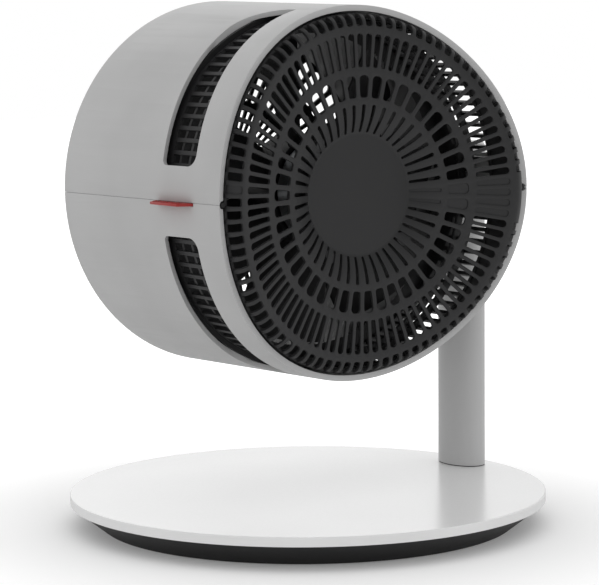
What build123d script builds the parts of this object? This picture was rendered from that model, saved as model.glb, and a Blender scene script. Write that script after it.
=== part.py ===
from build123d import *
import math
import os

# Air circulator fan: a drum-shaped head on a side post over a round turntable base.
# Millimetres, +Z up, origin at the centre of the base on the standing surface.
# The dished inlet grille faces -Y and the post stands at +X.

os.makedirs("parts", exist_ok=True)

# ---------------------------------------------------------------- drum and stance
front_radius = 125.0
drum_flare = 4.5
axis_height = 231.0
back_y = 106.0
post_half_x = 14.0
post_half_y = 21.0
post_gap = 1.5
deck_margin = 20.0
foot_inset = 21.5
duct_inset = 18.0
back_radius = front_radius + drum_flare
post_x = back_radius + post_gap + post_half_x
base_radius = post_x + deck_margin
foot_radius = base_radius - foot_inset
duct_radius = front_radius - duct_inset

# ---------------------------------------------------------------- base sizes
base_top = 23.0
rim_height = 6.3
deck_thickness = 3.0
rim_wall = 3.2
edge_round = 0.6
turn_gap = 0.5
foot_flare = 19.5
foot_wall = 2.6
foot_floor = 2.5
pad_radius = 9.0
pad_inset = 15.5
pad_count = 6
pad_proud = 1.0
pad_thickness = 2.2
ballast_inset = 7.5
ballast_width = 18.0
ballast_thickness = 5.0
wear_ring_inset = 28.5
wear_ring_width = 6.0
wear_ring_height = 3.4
spigot_radius = 14.0
spigot_bore = 9.0
spigot_end = 7.3
spigot_screw_length = 6.0
bush_wall = 3.0
bush_length = 8.0
hub_wall = 5.0
retainer_thickness = 1.8
board_width = 60.0
board_depth = 42.0
board_thickness = 1.6
board_hole_inset = 4.0
board_clearance = 17.0
standoff_radius = 3.0
standoff_height = 2.0
inlet_inset = 14.0
inlet_height = 9.0
inlet_radius = 4.5
inlet_bore = 2.75
inlet_bore_depth = 10.0
inlet_body = (12.0, 9.5, 10.0)
inlet_length = 23.0
inlet_notch = 16.0
board_screw_depth = 3.5

# ---------------------------------------------------------------- post sizes
post_y = 12.0
post_wall = 2.4
post_above_axis = 24.0
post_gasket = 0.6
gasket_inset = 0.4
post_screw_offset = 12.0
post_screw_length = 13.0
cap_dome = 4.0
cap_round = 3.2
plug_length = 30.0
plug_bore = 5.0
plate_thickness = 2.8
sink_depth = 1.9
head_block_below = 26.0
head_block_above = 19.0

# ---------------------------------------------------------------- shell sizes
rim_top_y = -59.3
rim_bend = 298.8
shell_wall = 3.0
lip_width = 4.0
lip_depth = 8.0
seam_fall = 0.5
seam_level_y = -42.0
ledge_depth = 3.0
front_ledge_width = 7.0
back_ledge_width = 4.0
outlet_y = 91.0
duct_screw_inset = 4.0
outlet_screw_inset = 1.6
pin_hole_radius = 2.6
pin_radius = 1.7
pin_inset = 0.9
pin_length = 5.5

# side air slots, measured round the drum from the level seam
slot_front_y = -33.8
slot_front_bend = 350.0
slot_back_y = 3.2
slot_back_bend = 380.0
slot_start = 10.4
slot_end = 76.5
slot_corner = 8.0
slot_small_corner = 4.0
slot_tip_sweep = 30.0

# ---------------------------------------------------------------- inlet grille sizes
grille_y = -68.3
grille_bend = 257.0
grille_thickness = 2.4
grille_shoulder = 8.0
grille_gap = 1.2
skirt_back_y = -58.6
disc_inset = 78.8
disc_recess = 5.0
throat_width = 17.0
throat_depth = 12.0
throat_wall = 2.9
lip_band = 0.7
pattern_turn = -3.0
inner_ring = (78.3, 59.7)
third_ring = (55.3, 40.5)
second_ring = (35.3, 12.9)
outer_ring = (8.1, -1.0)
coarse_count = 45
fine_count = 90
inner_slot_width = 2.4
third_slot_width = 6.8
second_slot_width = 4.1
outer_slot_width = 5.4
mount_boss_radius = 4.5
mount_boss_circle = 47.0
mount_boss_angles = (62.0, 134.0, 238.0, 318.0)
cover_width = 20.0
cover_thickness = 3.5
cover_gap = 18.5
cover_end_gap = 3.0
boss_sink = 0.8
boss_hole_depth = 6.5
guard_gap_width = 5.6
guard_band = 3.0
guard_back_band = 2.0
guard_hoops = (-38.5, -27.0)
hoop_width = 2.6
hoop_depth = 6.0
tab_notch_height = 16.0

# ---------------------------------------------------------------- air path sizes
duct_wall = 2.5
duct_back_y = 86.0
flange_front_y = -6.0
flange_thickness = 3.0
blade_count = 7
blade_tip_gap = 2.5
blade_thickness = 2.6
root_chord = 44.0
root_pitch = 48.0
tip_chord = 66.0
tip_pitch = 28.0
impeller_hub_radius = 38.0
impeller_front_y = -16.0
impeller_back_y = 18.0
impeller_wall = 2.5
hub_boss_radius = 9.0
outlet_thickness = 2.4
outlet_crown = 9.0
outlet_slot_count = 60
outlet_inset = 13.0
outlet_rows = ((78.0, 56.0, 2.6), (52.0, 30.0, 4.6), (26.0, 4.0, 6.6))

# ---------------------------------------------------------------- motor sizes
motor_radius = 36.0
motor_wall = 2.0
motor_front_y = -55.0
motor_back_y = -19.5
mount_radius = 52.0
mount_thickness = 3.0
shaft_radius = 4.0
shaft_front_y = -56.5
shaft_back_y = 25.0
bearing_radius = 11.0
bearing_width = 7.0
bearing_wall = 3.0
bearing_float = 0.1
cap_thickness = 2.5
stator_inner = 18.0
core_front_y = -46.0
core_back_y = -30.0
air_gap = 0.5

# ---------------------------------------------------------------- tilt pivot sizes
tilt_radius = 7.0
tilt_bore = 4.0
tilt_seat = 2.8
tilt_past_post = 6.0
pivot_pad_reach = 12.5
pivot_pad_half_y = 11.5
pivot_pad_half_z = 18.0
pivot_bush_wall = 2.5
pivot_bush_length = 9.8
collar_radius = 12.9
collar_gap = 0.4
washer_radius = 11.5
washer_thickness = 1.5
disc_spring_stack = 2.0
tilt_nut_radius = 11.0
tilt_nut_length = 4.6
pocket_radius = 12.6
encoder_radius = 10.5
encoder_length = 4.5
spindle_radius = 3.0
knob_radius = 15.0
knob_length = 4.4
knob_bore = 3.2
knob_edge_round = 1.5
knob_gap = 0.5
bezel_sink = 2.0
bezel_thickness = 3.0
spindle_inset = 1.0
dowel_radius = 1.5
dowel_half = 16.0

# ---------------------------------------------------------------- release tab sizes
tab_front_y = -56.0
tab_back_y = -14.0
tab_thickness = 1.8
tab_reach = 9.0
tab_slant = 4.5
tab_corner = 1.5
tab_flange_thickness = 1.5
tab_flange_half_z = 2.2
tab_spring_length = 4.9
tab_spring_radius = 2.0
tab_spring_wire = 0.6
tab_spring_offset = 16.0
tab_rail_thickness = 2.0
tab_rail_half_z = 5.0
tab_rail_end = 2.0

# ---------------------------------------------------------------- clearances
fit = 0.03
slide_gap = 0.08
part_gap = 0.2
loose_gap = 0.5
screw_radius = 1.5
screw_clearance = 0.1
screw_head_radius = 2.2
screw_head_height = 1.8

# Cutters reach this far past whatever they cut.
cutter_reach = 200.0
cut_margin = 1.0
cutter_margin = 20.0

# ---------------------------------------------------------------- derived places
ballast_outer = foot_radius - ballast_inset
wear_ring_outer = foot_radius - wear_ring_inset
wear_ring_inner = wear_ring_outer - wear_ring_width
board_top = pad_proud + foot_floor + standoff_height + board_thickness
board_y = wear_ring_inner - board_depth / 2 - board_clearance
inlet_back_y = foot_radius - inlet_inset
tilt_inner_x = duct_radius + tilt_seat
tilt_outer_x = post_x + tilt_past_post
pad_face = duct_radius + pivot_pad_reach
front_ledge_inner = front_radius - front_ledge_width
back_ledge_inner = front_radius - back_ledge_width
deck_under = base_top - deck_thickness
rim_bottom = base_top - rim_height
foot_top = rim_bottom - turn_gap
floor_top = pad_proud + foot_floor
ring_wall_top = deck_under - slide_gap - wear_ring_height
rim_side_y = rim_top_y - (rim_bend - math.sqrt(rim_bend**2 - front_radius**2))
grille_radius = front_radius - lip_width - grille_gap
disc_radius = grille_radius - disc_inset
drum_taper = (back_radius - front_radius) / (back_y - rim_side_y)
post_top = axis_height + post_above_axis
post_inner_x = post_half_x - post_wall
post_inner_y = post_half_y - post_wall
head_axis = Axis((0, 0, axis_height), (0, 1, 0))
cross_axis = Axis((0, 0, axis_height), (1, 0, 0))


def drum_radius(y):
    """Outer radius of the drum at depth y."""
    return front_radius + drum_taper * (y - rim_side_y)


def head_plane(y, turn=0.0):
    """Plane across the drum axis at depth y, facing -Y."""
    across = math.radians(turn)
    return Plane(
        origin=(0, y, axis_height),
        x_dir=(math.cos(across), 0, math.sin(across)),
        z_dir=(0, -1, 0),
    )


def side_plane(x):
    """Plane across the tilt axis at x, facing +X."""
    return Plane(origin=(x, post_y, axis_height), x_dir=(0, 1, 0), z_dir=(1, 0, 0))


def seam_plane():
    """Parting plane of the two drum shells, which falls towards the back."""
    fall = math.radians(seam_fall)
    return Plane(
        origin=(0, seam_level_y, axis_height),
        x_dir=(1, 0, 0),
        z_dir=(0, math.sin(fall), math.cos(fall)),
    )


def shell_inner(y):
    """Inner radius of the drum shell ahead of its front ledge."""
    share = (y - rim_side_y - lip_depth) / (flange_front_y + flange_thickness - rim_side_y - lip_depth)
    lip = grille_radius + grille_gap
    return lip + share * (drum_radius(flange_front_y) - shell_wall - lip)


def seam_height(y):
    """Height of the shell seam at depth y."""
    return axis_height - math.tan(math.radians(seam_fall)) * (y - seam_level_y)


def ring(plane, outer, inner, length, mode=Mode.ADD):
    """Round bar or tube along the plane's normal."""
    with BuildSketch(plane) as section:
        Circle(outer)
        if inner:
            Circle(inner, mode=Mode.SUBTRACT)
    extrude(section.sketch, amount=length, mode=mode)


def across(front_y, back_y, outer, inner=0.0, mode=Mode.ADD):
    """Round bar or tube on the drum axis between two depths."""
    ring(head_plane(back_y), outer, inner, back_y - front_y, mode)


def polar(radius, angle):
    """Point on a circle, in the plane's own axes."""
    return (radius * math.cos(math.radians(angle)), radius * math.sin(math.radians(angle)))


def screws(plane, points, shank, head_radius=screw_head_radius):
    """Pan-head screws: the heads stand on the plane and the shanks run back through it."""
    with BuildSketch(plane) as heads:
        with Locations(*points):
            Circle(head_radius)
    extrude(heads.sketch, amount=screw_head_height)
    with BuildSketch(plane) as shanks:
        with Locations(*points):
            Circle(screw_radius)
    extrude(shanks.sketch, amount=-shank)


def drill(plane, points, radius, depth):
    """Holes from the plane back through the material."""
    with BuildSketch(plane) as holes:
        with Locations(*points):
            Circle(radius)
    extrude(holes.sketch, amount=-depth, mode=Mode.SUBTRACT)


def behind(y):
    """Plane across the drum axis at depth y, facing +Y, with its own y axis pointing down."""
    return Plane(origin=(0, y, axis_height), x_dir=(1, 0, 0), z_dir=(0, 1, 0))


def flip(points):
    """The same points, on a plane whose y axis is turned over."""
    return [(x, -y) for x, y in points]


def save(builder, name):
    """Label one finished piece and write it."""
    builder.part.label = name
    export_step(builder.part, f"parts/{name}.step")


# ================================================================ base
with BuildPart() as base_disc:
    ring(Plane.XY.offset(rim_bottom), base_radius, 0, rim_height)
    ring(Plane.XY.offset(rim_bottom), base_radius - rim_wall, 0, deck_under - rim_bottom, Mode.SUBTRACT)
    fillet(base_disc.edges().filter_by(GeomType.CIRCLE).group_by(Axis.Z)[-1], edge_round)
    ring(Plane.XY.offset(spigot_end), spigot_radius, spigot_bore, deck_under - spigot_end)
    with BuildSketch(Plane((post_x, post_y, deck_under))) as lead_hole:
        Circle(plug_bore)
    extrude(lead_hole.sketch, amount=deck_thickness, mode=Mode.SUBTRACT)
    post_screw_points = [(post_x, post_y - post_screw_offset), (post_x, post_y + post_screw_offset)]
    drill(Plane.XY.offset(base_top), post_screw_points, screw_radius + screw_clearance, deck_thickness)
    spigot_screw_points = [polar((spigot_radius + spigot_bore) / 2, 120 * k) for k in range(3)]
    drill(Plane.XY.offset(spigot_end + bush_length), spigot_screw_points, screw_radius + fit, bush_length)
save(base_disc, "base_disc")

with BuildPart() as base_foot:
    foot_profile = [
        (foot_radius, pad_proud),
        (foot_radius + foot_flare, foot_top),
        (foot_radius + foot_flare - foot_wall, foot_top),
        (foot_radius - foot_wall, floor_top),
        (0, floor_top),
        (0, pad_proud),
    ]
    with BuildSketch(Plane.XZ) as bowl:
        with BuildLine():
            Polyline(*foot_profile, close=True)
        make_face()
    revolve(bowl.sketch, axis=Axis.Z)
    ring(Plane.XY.offset(floor_top), wear_ring_outer, wear_ring_inner, ring_wall_top - floor_top)
    hub_inner = spigot_radius + fit + bush_wall
    hub_top = spigot_end + bush_length
    ring(Plane.XY.offset(floor_top), hub_inner + hub_wall, hub_inner, hub_top - floor_top)
    hole_x = board_width / 2 - board_hole_inset
    hole_y = board_depth / 2 - board_hole_inset
    board_points = [(x, board_y + y) for x in (-hole_x, hole_x) for y in (-hole_y, hole_y)]
    with BuildSketch(Plane.XY.offset(floor_top)) as standoffs:
        with Locations(*board_points):
            Circle(standoff_radius)
    extrude(standoffs.sketch, amount=standoff_height)
    pad_step = 360 / pad_count
    pad_points = [polar(foot_radius - pad_inset, pad_step * (k + 0.5)) for k in range(pad_count)]
    drill(Plane.XY.offset(pad_thickness), pad_points, pad_radius + fit, pad_thickness - pad_proud)
    inlet_plane = Plane(origin=(0, foot_radius + foot_flare, inlet_height), x_dir=(1, 0, 0), z_dir=(0, 1, 0))
    drill(inlet_plane, [(0, 0)], inlet_radius + part_gap, foot_flare + foot_wall * 2)
    drill(Plane.XY.offset(floor_top + standoff_height), board_points, screw_radius + fit, board_screw_depth)
save(base_foot, "base_foot")

with BuildPart() as foot_pads:
    with BuildSketch() as pads:
        with Locations(*pad_points):
            Circle(pad_radius)
    extrude(pads.sketch, amount=pad_thickness)
save(foot_pads, "foot_pads")

with BuildPart() as ballast_ring:
    ring(Plane.XY.offset(floor_top), ballast_outer, ballast_outer - ballast_width, ballast_thickness)
    with BuildSketch(Plane.XY.offset(floor_top)) as notch_outline:
        with Locations((0, ballast_outer)):
            Rectangle(inlet_notch, 2 * ballast_width + 2 * cut_margin)
    extrude(notch_outline.sketch, amount=ballast_thickness, mode=Mode.SUBTRACT)
save(ballast_ring, "ballast_ring")

with BuildPart() as wear_ring:
    ring(Plane.XY.offset(ring_wall_top), wear_ring_outer, wear_ring_inner, wear_ring_height)
save(wear_ring, "wear_ring")

with BuildPart() as swivel_bush:
    ring(Plane.XY.offset(spigot_end + slide_gap), hub_inner, spigot_radius + fit, hub_top - spigot_end - slide_gap)
    ring(Plane.XY.offset(hub_top), hub_inner + hub_wall, spigot_radius + fit, foot_wall)
save(swivel_bush, "swivel_bush")

with BuildPart() as swivel_retainer:
    retainer_low = spigot_end - retainer_thickness
    ring(Plane.XY.offset(retainer_low), hub_inner - loose_gap, plug_bore, retainer_thickness)
    drill(Plane.XY.offset(spigot_end), spigot_screw_points, screw_radius + screw_clearance, retainer_thickness)
save(swivel_retainer, "swivel_retainer")

with BuildPart() as swivel_screws:
    under = Plane(origin=(0, 0, retainer_low), x_dir=(1, 0, 0), z_dir=(0, 0, -1))
    screws(under, flip(spigot_screw_points), retainer_thickness + spigot_screw_length)
save(swivel_screws, "swivel_screws")

with BuildPart() as control_board:
    with BuildSketch(Plane.XY.offset(floor_top + standoff_height)) as board_outline:
        with Locations((0, board_y)):
            RectangleRounded(board_width, board_depth, standoff_radius)
    extrude(board_outline.sketch, amount=board_thickness)
    drill(Plane.XY.offset(board_top), board_points, screw_radius + screw_clearance, board_thickness)
save(control_board, "control_board")

with BuildPart() as board_screws:
    screws(Plane.XY.offset(board_top), board_points, board_thickness + board_screw_depth - loose_gap)
save(board_screws, "board_screws")

with BuildPart() as power_inlet:
    inlet_back = Plane(origin=(0, inlet_back_y, inlet_height), x_dir=(1, 0, 0), z_dir=(0, 1, 0))
    with BuildSketch(inlet_back) as inlet_block:
        Rectangle(inlet_body[0], inlet_body[2])
    extrude(inlet_block.sketch, amount=inlet_body[1])
    ring(inlet_back, inlet_radius, 0, inlet_length)
    drill(inlet_back.offset(inlet_length), [(0, 0)], inlet_bore, inlet_bore_depth)
save(power_inlet, "power_inlet")

# ================================================================ post
with BuildPart() as post_gasket_ring:
    with BuildSketch(Plane((post_x, post_y, base_top))) as gasket_outline:
        Ellipse(post_half_x - gasket_inset, post_half_y - gasket_inset)
        Ellipse(post_inner_x, post_inner_y, mode=Mode.SUBTRACT)
    extrude(gasket_outline.sketch, amount=post_gasket)
save(post_gasket_ring, "post_gasket")

with BuildPart() as post_tube:
    with BuildSketch(Plane((post_x, post_y, base_top + post_gasket))) as post_outline:
        Ellipse(post_half_x, post_half_y)
        Ellipse(post_inner_x, post_inner_y, mode=Mode.SUBTRACT)
    extrude(post_outline.sketch, amount=post_top - base_top - post_gasket)
    bush_outer = tilt_radius + fit + pivot_bush_wall
    ring(side_plane(post_x - post_half_x - cut_margin), bush_outer + fit, 0, post_half_x, Mode.SUBTRACT)
    ring(side_plane(post_x), pocket_radius, 0, post_half_x + cut_margin, Mode.SUBTRACT)
save(post_tube, "post_tube")

with BuildPart() as post_plug:
    with BuildSketch(Plane((post_x, post_y, base_top))) as plug_outline:
        Ellipse(post_inner_x - part_gap / 2, post_inner_y - part_gap / 2)
        Circle(plug_bore, mode=Mode.SUBTRACT)
    extrude(plug_outline.sketch, amount=plug_length)
    drill(Plane.XY.offset(base_top + post_screw_length), post_screw_points, screw_radius + fit, post_screw_length)
save(post_plug, "post_plug")

with BuildPart() as post_plate:
    with BuildSketch(Plane((post_x, post_y, deck_under - plate_thickness))) as plate_outline:
        Ellipse(post_inner_x, post_inner_y)
        Circle(plug_bore, mode=Mode.SUBTRACT)
    extrude(plate_outline.sketch, amount=plate_thickness)
    drill(Plane.XY.offset(deck_under), post_screw_points, screw_radius + screw_clearance, plate_thickness)
    with BuildSketch(Plane.XY.offset(deck_under - plate_thickness)) as sinks:
        with Locations(*post_screw_points):
            Circle(screw_head_radius + screw_clearance)
    extrude(sinks.sketch, amount=sink_depth, mode=Mode.SUBTRACT)
save(post_plate, "post_plate")

with BuildPart() as post_screws:
    sink_floor = deck_under - plate_thickness + sink_depth
    below_post = Plane(origin=(0, 0, sink_floor), x_dir=(1, 0, 0), z_dir=(0, 0, -1))
    screws(below_post, flip(post_screw_points), post_screw_length)
save(post_screws, "post_screws")

with BuildPart() as post_head:
    with BuildSketch(Plane((post_x, post_y, axis_height - head_block_below))) as block_outline:
        Ellipse(post_inner_x - part_gap / 2, post_inner_y - part_gap / 2)
    extrude(block_outline.sketch, amount=head_block_below + head_block_above)
    bush_x = post_x - post_half_x
    ring(side_plane(bush_x), bush_outer + fit, 0, post_half_x * 2, Mode.SUBTRACT)
    ring(side_plane(bush_x + pivot_bush_length), pocket_radius - part_gap, 0, post_half_x * 2, Mode.SUBTRACT)
save(post_head, "post_head")

with BuildPart() as post_cap:
    with BuildSketch(Plane((post_x, post_y, post_top))) as cap_outline:
        Ellipse(post_half_x, post_half_y)
    extrude(cap_outline.sketch, amount=cap_dome)
    fillet(post_cap.edges().group_by(Axis.Z)[-1], cap_round)
    with BuildSketch(Plane((post_x, post_y, post_top))) as cap_spigot:
        Ellipse(post_inner_x - part_gap / 2, post_inner_y - part_gap / 2)
    extrude(cap_spigot.sketch, amount=head_block_above + loose_gap - post_above_axis)
save(post_cap, "post_cap")

# ================================================================ tilt pivot
washer_x = bush_x + pivot_bush_length + slide_gap
spring_x = washer_x + washer_thickness
second_washer_x = spring_x + disc_spring_stack
nut_x = second_washer_x + washer_thickness

with BuildPart() as tilt_shaft:
    ring(side_plane(tilt_inner_x), tilt_radius, tilt_bore, tilt_outer_x - tilt_inner_x)
    dowel_x = (tilt_inner_x + pad_face) / 2
    dowel_plane = Plane((dowel_x, post_y, axis_height - dowel_half))
    ring(dowel_plane, dowel_radius + fit, 0, 2 * dowel_half, Mode.SUBTRACT)
save(tilt_shaft, "tilt_shaft")

with BuildPart() as shaft_dowel:
    ring(dowel_plane, dowel_radius, 0, 2 * dowel_half)
save(shaft_dowel, "shaft_dowel")

with BuildPart() as pivot_bush:
    ring(side_plane(bush_x), bush_outer, tilt_radius + fit, pivot_bush_length)
save(pivot_bush, "pivot_bush")

with BuildPart() as pivot_collar:
    ring(side_plane(pad_face), collar_radius, tilt_radius + fit, bush_x - collar_gap - pad_face)
save(pivot_collar, "pivot_collar")

with BuildPart() as friction_washers:
    ring(side_plane(washer_x), washer_radius, tilt_radius + fit, washer_thickness)
    ring(side_plane(second_washer_x), washer_radius, tilt_radius + fit, washer_thickness)
save(friction_washers, "friction_washers")

with BuildPart() as disc_springs:
    ring(side_plane(spring_x), washer_radius - 1, tilt_radius + fit, disc_spring_stack)
save(disc_springs, "disc_springs")

with BuildPart() as tilt_nut:
    with BuildSketch(side_plane(nut_x)) as nut_outline:
        RegularPolygon(tilt_nut_radius, 6)
        Circle(tilt_radius + fit, mode=Mode.SUBTRACT)
    extrude(nut_outline.sketch, amount=tilt_nut_length)
save(tilt_nut, "tilt_nut")

bezel_x = post_x + post_half_x - bezel_sink
knob_x = bezel_x + bezel_thickness + knob_gap
spindle_x = bezel_x - encoder_length + spindle_inset
with BuildPart() as encoder:
    ring(side_plane(bezel_x - encoder_length), encoder_radius, spindle_radius + fit, encoder_length)
save(encoder, "encoder")

with BuildPart() as knob_spindle:
    ring(side_plane(spindle_x), spindle_radius, 0, knob_x + knob_bore - part_gap - spindle_x)
save(knob_spindle, "knob_spindle")

with BuildPart() as knob_bezel:
    ring(side_plane(bezel_x), pocket_radius - part_gap, spindle_radius + loose_gap, bezel_thickness)
save(knob_bezel, "knob_bezel")

with BuildPart() as control_knob:
    ring(side_plane(knob_x), knob_radius, 0, knob_length)
    fillet(control_knob.edges().group_by(Axis.X)[-1], knob_edge_round)
    ring(side_plane(knob_x), spindle_radius + fit, 0, knob_bore, Mode.SUBTRACT)
save(control_knob, "control_knob")

# ================================================================ drum shells
def radial_edges(builder):
    """Edges that run outward from the drum axis, lowest first."""
    def off_axis(edge, end):
        point = edge @ end
        return math.hypot(point.X, point.Z - axis_height)

    outward = builder.edges().filter_by(lambda e: abs(off_axis(e, 0) - off_axis(e, 1)) > slot_corner)
    return outward.sort_by(Axis.Z)


with BuildPart() as slot_cutter:
    outer_cut = back_radius + shell_wall
    inner_cut = front_ledge_inner - shell_wall
    with BuildSketch(head_plane(-rim_side_y)) as sector:
        with BuildLine():
            CenterArc((0, 0), outer_cut, 180 - slot_end, slot_end - slot_start)
            Line(polar(outer_cut, 180 - slot_start), polar(inner_cut, 180 - slot_start))
            CenterArc((0, 0), inner_cut, 180 - slot_end, slot_end - slot_start)
            Line(polar(inner_cut, 180 - slot_end), polar(outer_cut, 180 - slot_end))
        make_face()
    extrude(sector.sketch, amount=cutter_reach)
    bottom = axis_height - cutter_reach
    ring(Plane((0, slot_front_y - slot_front_bend, bottom)), slot_front_bend, 0, 2 * cutter_reach, Mode.SUBTRACT)
    ring(Plane((0, slot_back_y - slot_back_bend, bottom)), slot_back_bend, 0, 2 * cutter_reach, Mode.INTERSECT)
    fillet(radial_edges(slot_cutter)[:2].sort_by(Axis.Y)[0], slot_corner)
    fillet(radial_edges(slot_cutter)[:2].sort_by(Axis.Y)[-1], slot_small_corner)
    fillet(radial_edges(slot_cutter)[-2:].sort_by(Axis.Y)[-1], slot_tip_sweep)
left_top = slot_cutter.part.rotate(cross_axis, -seam_fall)
right_top = left_top.mirror(Plane.YZ)
side_slots = [left_top, right_top]
for slot in (left_top, right_top):
    side_slots.append(slot.mirror(seam_plane()))

shell_back = drum_radius(back_y)
shell_front = drum_radius(rim_side_y)
shell_profile = [
    (shell_front, rim_side_y - cut_margin),
    (shell_back, back_y),
    (shell_back - shell_wall, back_y),
    (drum_radius(outlet_y) - shell_wall, outlet_y),
    (back_ledge_inner, outlet_y),
    (back_ledge_inner, outlet_y - ledge_depth),
    (drum_radius(outlet_y - ledge_depth) - shell_wall, outlet_y - ledge_depth),
    (drum_radius(flange_front_y + flange_thickness + ledge_depth) - shell_wall,
     flange_front_y + flange_thickness + ledge_depth),
    (front_ledge_inner, flange_front_y + flange_thickness + ledge_depth),
    (front_ledge_inner, flange_front_y + flange_thickness),
    (drum_radius(flange_front_y) - shell_wall, flange_front_y + flange_thickness),
    (grille_radius + grille_gap, rim_side_y + lip_depth),
    (grille_radius + grille_gap, rim_side_y - cut_margin),
]
duct_screw_points = [polar(front_radius - duct_screw_inset, a) for a in (35, 90, 145)]
duct_screw_points += flip(duct_screw_points)
outlet_screw_points = [polar(front_radius - outlet_screw_inset, a) for a in (45, 135, 225, 315)]
pin_x = grille_radius + grille_gap + pin_inset
pin_back_y = rim_side_y + pin_length + loose_gap


def drum_shell(keep):
    """One half of the drum: the whole drum, its openings and the seam cut."""
    with BuildSketch(Plane.XY.offset(axis_height)) as wall:
        with BuildLine():
            Polyline(*shell_profile, close=True)
        make_face()
    revolve(wall.sketch, axis=head_axis)
    rim_cutter = Plane((0, rim_top_y - rim_bend, axis_height - cutter_reach))
    ring(rim_cutter, rim_bend, 0, 2 * cutter_reach, Mode.SUBTRACT)
    for opening in side_slots:
        add(opening, mode=Mode.SUBTRACT)
    pad_hole_x = pad_face - shell_wall
    ring(side_plane(pad_hole_x), collar_radius + part_gap, 0, back_radius - pad_hole_x, Mode.SUBTRACT)
    for x in (-pin_x, pin_x):
        pin_hole = Plane(origin=(x, pin_back_y, seam_height(rim_side_y)), x_dir=(1, 0, 0), z_dir=(0, -1, 0))
        ring(pin_hole, pin_hole_radius, 0, 2 * pin_length, Mode.SUBTRACT)
    ledge_back = flange_front_y + flange_thickness + ledge_depth
    drill(head_plane(ledge_back), duct_screw_points, screw_radius + screw_clearance, -ledge_depth)
    drill(head_plane(outlet_y), outlet_screw_points, screw_radius + fit, -ledge_depth)
    split(bisect_by=seam_plane(), keep=keep)


with BuildPart() as upper_shell:
    drum_shell(Keep.TOP)
save(upper_shell, "upper_shell")

tab_mid_y = (tab_front_y + tab_back_y) / 2
tab_wall_x = drum_radius(tab_mid_y)
tab_drop = tab_thickness / 2 + part_gap
with BuildPart() as lower_shell:
    drum_shell(Keep.BOTTOM)
    with Locations(Location((-tab_wall_x, tab_mid_y, seam_height(tab_mid_y)), (-seam_fall, 0, 0))):
        opening_depth = tab_drop + tab_thickness / 2 + part_gap
        opening_length = tab_back_y - tab_front_y + 2 * loose_gap
        Box(5 * shell_wall, opening_length, 2 * opening_depth, mode=Mode.SUBTRACT)
save(lower_shell, "lower_shell")

with BuildPart() as shell_pins:
    for x in (-pin_x, pin_x):
        pin_plane = Plane(origin=(x, pin_back_y, seam_height(rim_side_y)), x_dir=(1, 0, 0), z_dir=(0, -1, 0))
        ring(pin_plane, pin_radius, 0, pin_length)
save(shell_pins, "shell_pins")

with BuildPart() as duct_screws:
    ledge_back_y = flange_front_y + flange_thickness + ledge_depth
    screws(behind(ledge_back_y), flip(duct_screw_points), ledge_depth + flange_thickness - loose_gap)
save(duct_screws, "duct_screws")

with BuildPart() as outlet_screws:
    outlet_face_y = outlet_y + outlet_thickness
    screws(behind(outlet_face_y), flip(outlet_screw_points), outlet_thickness + ledge_depth - loose_gap)
save(outlet_screws, "outlet_screws")

# ================================================================ release tab
tab_flange_x = shell_inner(tab_front_y) - 2 * part_gap
tab_plane = Plane(
    origin=(0, tab_mid_y, seam_height(tab_mid_y) - tab_drop),
    x_dir=(-1, 0, 0),
    z_dir=seam_plane().z_dir,
)

with BuildPart() as release_tab:
    half = (tab_back_y - tab_front_y) / 2
    outline = [
        (tab_flange_x, -half),
        (tab_flange_x, half),
        (tab_wall_x, half),
        (tab_wall_x + tab_reach, half - tab_slant),
        (tab_wall_x + tab_reach, tab_slant - half),
        (tab_wall_x, -half),
    ]
    with BuildSketch(tab_plane.offset(-tab_thickness / 2)) as tab_outline:
        with BuildLine():
            Polyline(*outline, close=True)
        make_face()
        fillet(tab_outline.vertices().sort_by(Axis.X)[:2], tab_corner)
    extrude(tab_outline.sketch, amount=tab_thickness)
    with BuildSketch(tab_plane.offset(-tab_flange_half_z)) as tab_flange:
        with Locations((tab_flange_x - tab_flange_thickness / 2, 0)):
            Rectangle(tab_flange_thickness, 2 * half)
    extrude(tab_flange.sketch, amount=2 * tab_flange_half_z)
save(release_tab, "release_tab")

tab_spring_x = tab_flange_x - tab_flange_thickness
with BuildPart() as tab_springs:
    for y in (tab_mid_y - tab_spring_offset, tab_mid_y + tab_spring_offset):
        spring_plane = Plane(
            origin=(-tab_spring_x, y, seam_height(y) - tab_drop), x_dir=(0, 1, 0), z_dir=(1, 0, 0)
        )
        ring(spring_plane, tab_spring_radius, tab_spring_radius - tab_spring_wire, tab_spring_length)
save(tab_springs, "tab_springs")

# ================================================================ inlet grille
skirt_inner = grille_radius - grille_thickness
bend_centre = Plane((0, grille_y - grille_bend, axis_height - cutter_reach))
grille_front_y = rim_side_y - cutter_margin
disc_y = grille_y + disc_recess
throat_radius = disc_radius + throat_width
slot_rings = (
    (coarse_count, inner_ring, inner_slot_width, 2),
    (coarse_count, third_ring, third_slot_width, 2),
    (fine_count, second_ring, second_slot_width, 4),
)


def inward(span):
    """Radii of a ring of slots, from its distances in from the grille's edge."""
    return (grille_radius - span[0], grille_radius - span[1])


def slot_row(span, width, pitch, first, number):
    """A row of radial slots, evenly spaced round the axis."""
    with PolarLocations(sum(span) / 2, number, start_angle=first, angular_range=number * pitch):
        Rectangle(span[1] - span[0], width)


def slot_ring(count, span, width, blind):
    """A ring of the grille's slots, without the blind ones at 3 o'clock."""
    pitch = 360 / count
    slot_row(inward(span), width, pitch, pattern_turn + (blind + 1) / 2 * pitch, count - blind)


def dished(sink, mode):
    """Everything in front of the dished face, moved back by sink."""
    ring(bend_centre, grille_bend + sink, 0, 2 * cutter_reach, mode)


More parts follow.
